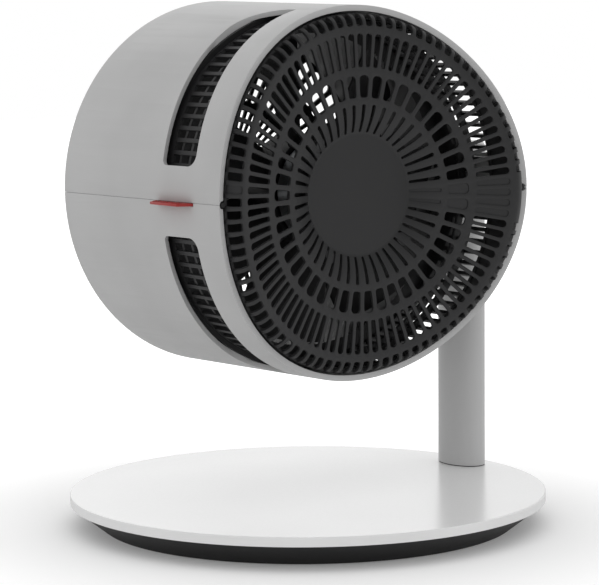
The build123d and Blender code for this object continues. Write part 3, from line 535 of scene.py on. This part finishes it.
def moulded(name, code, roughness, grain, depth, swing=0.015, ior=1.53):
    """Injection-moulded plastic: an even colour with a faint flow of tone, and the fine
    spark-eroded grain of the tool in its gloss and bump. grain and depth are in metres."""
    patterned(name, code, (-swing, swing), (
        (NOISE, {"Scale": 1 / (60 * MM), "Detail": 2.0}, {}),
        (NOISE, {"Scale": 1 / grain, "Detail": 3.0, "Roughness": 0.6}, {}),
    ), roughness, gloss=0.05, bump=(0.5, depth), IOR=ior)


def powder_coat(name, code, roughness):
    """Powder-coated steel: the soft orange peel of a baked coat, 1.5 mm from crest to crest."""
    patterned(name, code, (-0.01, 0.01), (
        (NOISE, {"Scale": 1 / (90 * MM), "Detail": 1.0}, {}),
        (NOISE, {"Scale": 1 / (1.5 * MM), "Detail": 1.5}, {}),
    ), roughness, gloss=0.04, bump=(0.2, 0.01 * MM), IOR=1.5)


def plated(name, code, roughness, patch=6 * MM):
    """Zinc-plated or bright steel: patches of slightly different gloss, patch in metres."""
    patterned(name, code, (-0.06, 0.04), (
        (NOISE, {"Scale": 1 / patch, "Detail": 4.0}, {}),
    ), roughness, gloss=0.08, Metallic=1.0)


def turned(name, code, roughness, pitch, direction):
    """Turned, ground or stacked metal: fine lines across the direction, a pitch in metres apart.
    A wave texture of scale 0.314 repeats once in a metre."""
    patterned(name, code, (-0.05, 0.03), (
        ("ShaderNodeTexWave", {"Scale": 0.314 / pitch, "Distortion": 0.6, "Detail": 2.0},
         {"wave_type": "BANDS", "bands_direction": direction}),
    ), roughness, gloss=0.06, Metallic=1.0)


def cast(name, code, roughness, metallic, grain):
    """Sand or die casting: a rough skin with a clear grain, grain in metres."""
    patterned(name, code, (-0.12, 0.08), (
        (NOISE, {"Scale": 1 / grain, "Detail": 5.0, "Roughness": 0.7}, {}),
    ), roughness, bump=(0.6, 0.15 * MM), Metallic=metallic)


def rubber(name, code):
    """Moulded rubber: dull and dusty, with a fine matt grain of about 0.8 mm."""
    patterned(name, code, (-0.1, 0.25), (
        (NOISE, {"Scale": 1 / (0.8 * MM), "Detail": 3.0}, {}),
    ), 0.85, bump=(0.4, 0.05 * MM), IOR=1.52)


def make_finishes(context):
    """The fan's finishes, made once."""
    if "Moulded ABS light grey" in bpy.data.materials:
        return
    colours = context.scene.fan_colours
    # Satin and even, with a broad sheen. The grain is near 0.3 mm, drawn at 0.7 mm so it shows.
    moulded("Moulded ABS light grey", colours.shell, 0.52, 0.7 * MM, 0.03 * MM)
    # Baked coats: a soft highlight down the post, and a smoother white that mirrors faintly.
    powder_coat("Powder-coated steel post", colours.post, 0.38)
    powder_coat("Powder-coated steel base", colours.base, 0.22)
    # Glass-filled and matt, with a coarser grain and hardly a highlight.
    moulded("Textured polypropylene charcoal", colours.grille, 0.55, 0.8 * MM, 0.05 * MM, 0.03)
    # Unfilled, near black and slightly waxy.
    moulded("Polypropylene dark", colours.inside, 0.5, 1.0 * MM, 0.04 * MM, 0.03)
    # Deep black with a mild gloss.
    moulded("Moulded ABS black", colours.foot, 0.45, 0.8 * MM, 0.04 * MM, 0.03)
    # Clear red, glossier than the drum, from a finer tool.
    moulded("Moulded ABS red", colours.tab, 0.35, 0.6 * MM, 0.02 * MM, 0.03)
    # Milky and smooth, as bearing plastics are.
    moulded("Acetal natural", "D9D6CC", 0.3, 1.2 * MM, 0.02 * MM, 0.01, 1.48)
    # Glossy green lacquer with a faint mottle.
    moulded("Solder mask green laminate", "1F5A34", 0.3, 2.0 * MM, 0.02 * MM, 0.05)
    # Papery tan without any gloss.
    moulded("Vulcanised fibre", "B9A98A", 0.8, 0.5 * MM, 0.05 * MM, 0.08)
    # Cool grey metals: pale and patchy, black and dull, and bright wire in short patches.
    plated("Zinc-plated steel", "B4B7BA", 0.38)
    plated("Blackened steel", "3A3A3C", 0.45)
    plated("Spring steel", "8D9096", 0.3, 3 * MM)
    # Tool marks on bright steel, the edges of stacked sheets, and warm dull bronze.
    turned("Ground steel", "B9BBBE", 0.22, 0.4 * MM, "X")
    turned("Laminated steel", "6E7074", 0.5, 0.5 * MM, "Y")
    turned("Sintered bronze", "A98552", 0.5, 0.8 * MM, "X")
    # A dark sandy skin that is partly oxide, and a pale, finer one.
    cast("Cast iron", "4A4A4C", 0.75, 0.6, 1.2 * MM)
    cast("Die-cast aluminium", "B2B4B6", 0.5, 1.0, 1.0 * MM)
    # Dull near-black that takes the light evenly.
    rubber("Moulded rubber", "191919")


NODE_FINISHES = {
    "Moulded ABS light grey": ("upper_shell", "lower_shell"),
    "Powder-coated steel post": ("post_tube", "post_cap"),
    "Powder-coated steel base": ("base_disc",),
    "Textured polypropylene charcoal": (
        "inlet_grille", "lead_cover", "outlet_grille", "guard_basket"),
    "Polypropylene dark": ("air_duct", "motor_mount", "impeller", "impeller_nut"),
    "Moulded ABS black": (
        "base_foot", "power_inlet", "shell_pins", "knob_bezel", "control_knob", "encoder",
        "pivot_collar"),
    "Moulded ABS red": ("release_tab",),
    "Acetal natural": ("wear_ring", "swivel_bush"),
    "Solder mask green laminate": ("control_board",),
    "Vulcanised fibre": ("friction_washers",),
    "Zinc-plated steel": (
        "swivel_retainer", "swivel_screws", "board_screws", "post_plate", "post_screws",
        "duct_screws", "mount_screws", "tilt_nut", "motor_housing", "motor_end_cap"),
    "Blackened steel": ("outlet_screws",),
    "Spring steel": ("disc_springs", "tab_springs"),
    "Ground steel": ("tilt_shaft", "shaft_dowel", "knob_spindle", "motor_shaft", "bearings"),
    "Laminated steel": ("stator", "rotor"),
    "Sintered bronze": ("pivot_bush",),
    "Cast iron": ("ballast_ring",),
    "Die-cast aluminium": ("post_plug", "post_head"),
    "Moulded rubber": ("foot_pads", "post_gasket"),
}


def finish_of(node):
    """The material that the table gives a node."""
    return bpy.data.materials[next(key for key in NODE_FINISHES if node in NODE_FINISHES[key])]


# ---------------------------------------------------------------- pieces
class FAN_OT_finishes(bpy.types.Operator):
    """Give every solid of the frame its finish"""
    bl_idname = "fan.finishes"
    bl_label = "Finishes of the solids"

    def execute(self, context):
        make_finishes(context)
        for name, nodes in NODE_FINISHES.items():
            for node in nodes:
                slots = NODES[node].data.materials
                slots.clear()
                slots.append(bpy.data.materials[name])
        return {"FINISHED"}


class FAN_OT_inlet_grille(bpy.types.Operator):
    """Dished grille with four rings of slots, some of them blind, and a flat centre disc"""
    bl_idname = "fan.inlet_grille"
    bl_label = "Inlet grille"

    # Rings of points that close the disc, as shares of its radius
    disc_steps = (0.97, 0.873, 0.65475, 0.327375)
    # How far behind the drum's lip an edge is sure to be the sheet's outer edge
    skirt_margin = 0.3 * MM
    boss_angles = (62, 134, 238, 318)
    boss_circle = 47 * MM
    boss_radius = 4.5 * MM
    boss_round = 0.3 * MM

    def execute(self, context):
        make_finishes(context)
        sizes = context.scene.fan_grille
        sheet = InletSheet(sizes)
        depths = {"open": None, "blind": sizes.blind_depth, "plain": 0}
        runs = [
            run_of_cells(f"grille_ring_{index}", ring, first, number, sizes.pattern_turn,
                         sheet.radius_at, depths[kind])
            for index, ring in enumerate(INLET_RINGS) for first, number, kind in ring["stretches"]]
        grille = join(runs, "inlet_grille_face")
        for vertex in grille.data.vertices:
            vertex.co = sheet.place(*vertex.co)
        weld(grille, CELL_WELD)
        face_toward(grille, Vector((0, -1, 0)))

        def behind_lip(edge):
            return all(v.co.y > sheet.lip(v.co.x) + self.skirt_margin for v in edge.verts)

        extend_loop(grille, behind_lip, [(GRILLE_RADIUS, SKIRT_BACK)])
        extend_loop(grille, lambda e: edge_radius(e) < sizes.disc_radius + LOOP_MARGIN,
                    [(share * sizes.disc_radius, sizes.disc_depth) for share in self.disc_steps],
                    closed=True)
        modify(grille, "SOLIDIFY", thickness=sizes.thickness, offset=-1, use_even_offset=True)
        round_edges(grille, sizes.edge_round)
        bosses = [self.boss(sheet, math.radians(angle)) for angle in self.boss_angles]
        grille = join([grille] + bosses, "inlet_grille_face")
        finish_piece(grille, "head", ("inlet_grille",))
        return {"FINISHED"}

    def boss(self, sheet, turn):
        """Screw boss from the face, whose hollow it follows, back to the motor mount."""
        sizes, back = sheet.sizes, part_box("motor_mount")[0].y
        middle = (sizes.face_depth + back) / 2
        x, z = self.boss_circle * math.cos(turn), self.boss_circle * math.sin(turn)
        clear_selection()
        bpy.ops.mesh.primitive_cylinder_add(
            vertices=40, radius=self.boss_radius, depth=back - sizes.face_depth,
            rotation=(math.pi / 2, 0, 0), location=(x, middle, AXIS_HEIGHT + z))
        boss = begin("grille_boss")
        settle(boss)
        for vertex in boss.data.vertices:
            x, y, z = vertex.co
            if y < middle:
                front = sheet.front(x, math.hypot(x, z - AXIS_HEIGHT))
                vertex.co.y = front + sizes.blind_depth
        round_edges(boss, self.boss_round)
        return boss


class FAN_OT_outlet_grille(bpy.types.Operator):
    """Domed grille at the back of the drum, with three rings of slots"""
    bl_idname = "fan.outlet_grille"
    bl_label = "Outlet grille"

    thickness = 2.4 * MM
    crown = 9 * MM           # height of the dome over its flat rim
    dome_radius = 112 * MM
    hub_steps = (24 * MM, 16 * MM, 8 * MM)
    drum_gap = 0.2 * MM

    def execute(self, context):
        make_finishes(context)
        face = OUTLET_INNER + self.thickness
        bend = (self.dome_radius ** 2 + self.crown ** 2) / (2 * self.crown)
        bore, edge = OUTLET_RINGS[0]["bounds"][0] * MM, OUTLET_RINGS[-1]["bounds"][1] * MM

        def dome(out):
            return bend_depth(face + self.crown, bend, out)

        runs = [run_of_cells("outlet_ring", ring, 0, ring["count"], 0, lambda out: out)
                for ring in OUTLET_RINGS]
        grille = join(runs, "outlet_grille_face")
        for vertex in grille.data.vertices:
            out, turn, _ = vertex.co
            vertex.co = (out * math.cos(turn), dome(out), AXIS_HEIGHT + out * math.sin(turn))
        weld(grille, CELL_WELD)
        face_toward(grille, Vector((0, 1, 0)))
        extend_loop(grille, lambda e: edge_radius(e) > edge - LOOP_MARGIN,
                    [(self.dome_radius, face), (OUTLET_RADIUS - self.drum_gap, face)])
        extend_loop(grille, lambda e: edge_radius(e) < bore + LOOP_MARGIN,
                    [(radius, dome(radius)) for radius in self.hub_steps], closed=True)
        modify(grille, "SOLIDIFY", thickness=self.thickness, offset=-1, use_even_offset=True)
        round_edges(grille, context.scene.fan_trim.outlet_round)
        finish_piece(grille, "head", ("outlet_grille",))
        return {"FINISHED"}


class FAN_OT_drum_shells(bpy.types.Operator):
    """The two halves of the drum, with moulded edges at the lip, the seam and the air slots"""
    bl_idname = "fan.drum_shells"
    bl_label = "Drum shells"

    shell_round = 0.5 * MM

    def execute(self, context):
        make_finishes(context)
        trim = context.scene.fan_trim
        for node, side in (("upper_shell", 1), ("lower_shell", -1)):
            shell = copy_of_node(node, f"{node}_moulded")
            for vertex in shell.data.vertices:
                if abs(vertex.co.z - seam_height(trim, vertex.co.y)) < SEAM_MARGIN:
                    vertex.co.z += side * trim.seam_gap / 2
            round_edges(shell, self.shell_round, segments=3, angle=40)
            finish_piece(shell, "head", (node,))
        return {"FINISHED"}


class FAN_OT_release_tab(bpy.types.Operator):
    """Red tab in the seam, with slanted grip ridges"""
    bl_idname = "fan.release_tab"
    bl_label = "Release tab"

    ridge_size = (6 * MM, 1.0 * MM, 0.9 * MM)
    ridge_slant = math.radians(35)
    ridge_inset = 3.4 * MM
    ridge_drop = 0.2 * MM
    ridge_round = 0.15 * MM
    front_margin = 6 * MM    # from the tab's ends to its first and its last ridge
    back_margin = 5 * MM

    def execute(self, context):
        make_finishes(context)
        trim = context.scene.fan_trim
        tab = copy_of_node("release_tab", "release_tab_ridged")
        round_edges(tab, trim.tab_round, angle=40)
        low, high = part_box("release_tab")
        first, last = low.y + self.front_margin, high.y - self.back_margin
        ridges = []
        for index in range(trim.tab_ridges):
            y = first + (last - first) * index / (trim.tab_ridges - 1)
            z = seam_height(trim, y) - self.ridge_drop
            clear_selection()
            bpy.ops.mesh.primitive_cube_add(
                size=1, scale=self.ridge_size, rotation=(-trim.seam_fall, 0, self.ridge_slant),
                location=(low.x + self.ridge_inset, y, z))
            ridge = begin("tab_ridge")
            settle(ridge)
            round_edges(ridge, self.ridge_round)
            ridges.append(ridge)
        tab = join([tab] + ridges, "release_tab_ridged")
        finish_piece(tab, "tab", ("release_tab",))
        return {"FINISHED"}


class FAN_OT_dial(bpy.types.Operator):
    """Low fluted dial on the outer side of the post"""
    bl_idname = "fan.dial"
    bl_label = "Dial"

    shrink = 0.1 * MM        # inside the solid's own radius
    edge_round = 0.25 * MM
    flute_points = 4         # points round the rim to each flute, of which one is drawn in
    flute_scale = 0.955
    rim_share = 0.95         # share of the radius past which a point is on the rim
    rim_width = 2.5 * MM
    face_step = 0.5 * MM
    pointer_size = (0.8 * MM, 0.9 * MM, 6 * MM)
    pointer_inset = 0.6 * MM
    pointer_rise = 7.5 * MM
    pointer_round = 0.2 * MM

    def execute(self, context):
        make_finishes(context)
        low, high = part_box("control_knob")
        middle = (low + high) / 2
        radius = (high.z - low.z) / 2
        points = context.scene.fan_trim.dial_flutes * self.flute_points
        clear_selection()
        bpy.ops.mesh.primitive_cylinder_add(
            vertices=points, radius=radius - self.shrink, depth=high.x - low.x,
            rotation=(0, math.pi / 2, 0), location=middle)
        dial = begin("control_dial")
        settle(dial)

        select_where(dial, lambda f: f.normal.x > 0.9, "faces")
        bpy.ops.mesh.inset(thickness=self.rim_width)
        bpy.ops.mesh.inset(thickness=self.face_step, depth=-self.face_step)
        object_mode()

        def in_flute(vertex):
            y, z = vertex.co.y - middle.y, vertex.co.z - middle.z
            index = round(math.atan2(z, y) / (2 * math.pi) * points)
            on_rim = math.hypot(y, z) > self.rim_share * radius
            return on_rim and index % self.flute_points == 0

        select_where(dial, in_flute)
        bpy.ops.transform.resize(
            value=(1, self.flute_scale, self.flute_scale), center_override=tuple(middle))
        object_mode()
        round_edges(dial, self.edge_round, angle=30)

        clear_selection()
        bpy.ops.mesh.primitive_cube_add(
            size=1, scale=self.pointer_size,
            location=(high.x - self.pointer_inset, middle.y, middle.z + self.pointer_rise))
        pointer = begin("dial_pointer")
        settle(pointer)
        round_edges(pointer, self.pointer_round)
        dial = join([dial, pointer], "control_dial")
        finish_piece(dial, "knob", ("control_knob",))
        return {"FINISHED"}


class FAN_OT_studio(bpy.types.Operator):
    """Pale floor, soft light and the camera"""
    bl_idname = "fan.studio"
    bl_label = "Studio"

    looked_at = (-5.55 * MM, 0, 160.08 * MM)
    sensor_width = 36
    floor_size = 12
    # Where the white wall that reflections see begins and is full, as the cosine of the angle to
    # the camera's view
    wall_fade = (-0.2, 0.6)
    # Distances from the object between which the floor's painted glow grows, and its strength
    # there; weaker near the object, it leaves the floor painted darker round it
    glow_reach = (0.15, 0.45)
    glow_strength = (0.14, 0.6)

    def execute(self, context):
        scene, studio = context.scene, context.scene.fan_studio
        back = self.place_camera(scene, studio)

        clear_selection()
        bpy.ops.mesh.primitive_plane_add(size=self.floor_size)
        floor = begin("studio_floor")
        floor.data.materials.append(self.floor_paper())

        self.lamp(scene, "key", studio.key_watts,
                  size=1.5, place=(0.9, 1.5, 1.0), target=(0, 0, 0.1))
        self.lamp(scene, "fill", studio.fill_watts,
                  size=1.8, place=(-0.6, -2.2, 1.1), target=(0, 0, 0.2))
        self.surround(scene, studio, -back)
        scene.view_settings.view_transform = "Standard"
        return {"FINISHED"}

    def place_camera(self, scene, studio):
        """Put the camera where the photograph was taken from, and give its backward direction."""
        turn, rise, roll = studio.camera_turn, studio.camera_rise, studio.camera_roll
        back = Vector((
            math.sin(turn) * math.cos(rise), -math.cos(turn) * math.cos(rise), math.sin(rise)))
        level = Vector((math.cos(turn), math.sin(turn), 0))
        above = back.cross(level)
        right = level * math.cos(roll) + above * math.sin(roll)
        up = above * math.cos(roll) - level * math.sin(roll)
        place = Vector(self.looked_at) + back * studio.camera_distance
        camera = bpy.data.objects.new("photo_camera", bpy.data.cameras.new("photo_camera"))
        scene.collection.objects.link(camera)
        facing = Matrix((right, up, back)).transposed().to_4x4()
        camera.matrix_world = Matrix.Translation(place) @ facing
        camera.data.lens = studio.lens
        camera.data.sensor_width = self.sensor_width
        camera.data.sensor_fit = "HORIZONTAL"
        camera.data.clip_end = 50
        scene.camera = camera
        return back

    def lamp(self, scene, name, watts, size, place, target):
        """Round area light that looks from its place at its target."""
        lamp = bpy.data.objects.new(f"studio_{name}", bpy.data.lights.new(f"studio_{name}", "AREA"))
        lamp.data.shape = "DISK"
        lamp.data.size = size
        lamp.data.energy = watts
        lamp.location = place
        way = Vector(target) - Vector(place)
        lamp.rotation_euler = way.to_track_quat("-Z", "Y").to_euler()
        scene.collection.objects.link(lamp)

    def surround(self, scene, studio, ahead):
        """Even light from all round, and plain white to the camera. Reflections see a white wall
        behind the object and a dim room behind the camera."""
        scene.world = bpy.data.worlds.new("studio")
        tree = empty_tree(scene.world)
        path = add_node(tree, "ShaderNodeLightPath")
        view = add_node(tree, "ShaderNodeTexCoord").outputs["Generated"]
        facing = add_node(
            tree, "ShaderNodeVectorMath", {0: view, 1: ahead}, operation="DOT_PRODUCT")
        wall = add_node(tree, "ShaderNodeMapRange", {
            "Value": facing.outputs["Value"],
            "From Min": self.wall_fade[0], "From Max": self.wall_fade[1],
            "To Min": studio.room_strength, "To Max": 1.0})
        even, room, white = [
            add_node(tree, "ShaderNodeBackground", {
                "Color": linear("FFFFFF"), "Strength": strength}).outputs[0]
            for strength in (studio.world_strength, wall.outputs[0], 1.0)]
        unseen = add_node(tree, "ShaderNodeMixShader", {
            0: path.outputs["Is Glossy Ray"], 1: even, 2: room})
        mix = add_node(tree, "ShaderNodeMixShader", {
            0: path.outputs["Is Camera Ray"], 1: unseen.outputs[0], 2: white})
        add_node(tree, "ShaderNodeOutputWorld", {"Surface": mix.outputs[0]})

    def floor_paper(self):
        """White paper sweep: plain and matt. To the camera it has a painted glow, more and more
        away from the object, so that it meets the white background; weaker near the object, the
        glow leaves a painted shade round it on top of the object's rendered soft shadow."""
        material = bpy.data.materials.new("White paper sweep")
        tree = empty_tree(material)
        path = add_node(tree, "ShaderNodeLightPath")
        paper = add_node(tree, "ShaderNodeBsdfDiffuse", {"Color": linear("EDEDED")})
        place = add_node(tree, "ShaderNodeTexCoord").outputs["Object"]
        away = add_node(tree, "ShaderNodeVectorMath", {0: place}, operation="LENGTH")
        share = add_node(tree, "ShaderNodeMapRange", {
            "Value": away.outputs["Value"],
            "From Min": self.glow_reach[0], "From Max": self.glow_reach[1],
            "To Min": self.glow_strength[0], "To Max": self.glow_strength[1]})
        # Painted glow, seen only by the camera: weaker near the object, so the floor there is
        # painted darker
        glow = add_node(tree, "ShaderNodeEmission", {
            "Color": linear("FFFFFF"), "Strength": share.outputs[0]})
        lit = add_node(tree, "ShaderNodeAddShader", {0: paper.outputs[0], 1: glow.outputs[0]})
        mix = add_node(tree, "ShaderNodeMixShader", {
            0: path.outputs["Is Camera Ray"], 1: paper.outputs[0], 2: lit.outputs[0]})
        add_node(tree, "ShaderNodeOutputMaterial", {"Surface": mix.outputs[0]})
        return material


class FAN_PT_panel(bpy.types.Panel):
    bl_idname = "FAN_PT_panel"
    bl_label = "Air circulator fan"
    bl_space_type = "VIEW_3D"
    bl_region_type = "UI"
    bl_category = "Fan"

    def draw(self, context):
        for operator in OPERATORS:
            self.layout.operator(operator.bl_idname)
        for group in GROUPS:
            box = self.layout.box()
            settings = getattr(context.scene, group)
            for key in settings.__annotations__:
                box.prop(settings, key)


GROUPS = {
    "fan_grille": GrilleSizes,
    "fan_trim": TrimSizes,
    "fan_colours": FinishColours,
    "fan_studio": StudioSettings,
}
OPERATORS = (
    FAN_OT_studio, FAN_OT_finishes, FAN_OT_inlet_grille, FAN_OT_outlet_grille, FAN_OT_drum_shells,
    FAN_OT_release_tab, FAN_OT_dial)


def register():
    for cls in (*GROUPS.values(), *OPERATORS, FAN_PT_panel):
        bpy.utils.register_class(cls)
    for name, group in GROUPS.items():
        setattr(bpy.types.Scene, name, bpy.props.PointerProperty(type=group))


def unregister():
    for name in GROUPS:
        delattr(bpy.types.Scene, name)
    for cls in (FAN_PT_panel, *reversed(OPERATORS), *reversed(tuple(GROUPS.values()))):
        bpy.utils.unregister_class(cls)


def main():
    register()
    bpy.ops.fan.studio()
    bpy.ops.fan.finishes()
    bpy.ops.fan.inlet_grille()
    bpy.ops.fan.outlet_grille()
    bpy.ops.fan.drum_shells()
    bpy.ops.fan.release_tab()
    bpy.ops.fan.dial()
    clear_selection()


if __name__ == "__main__":
    main()
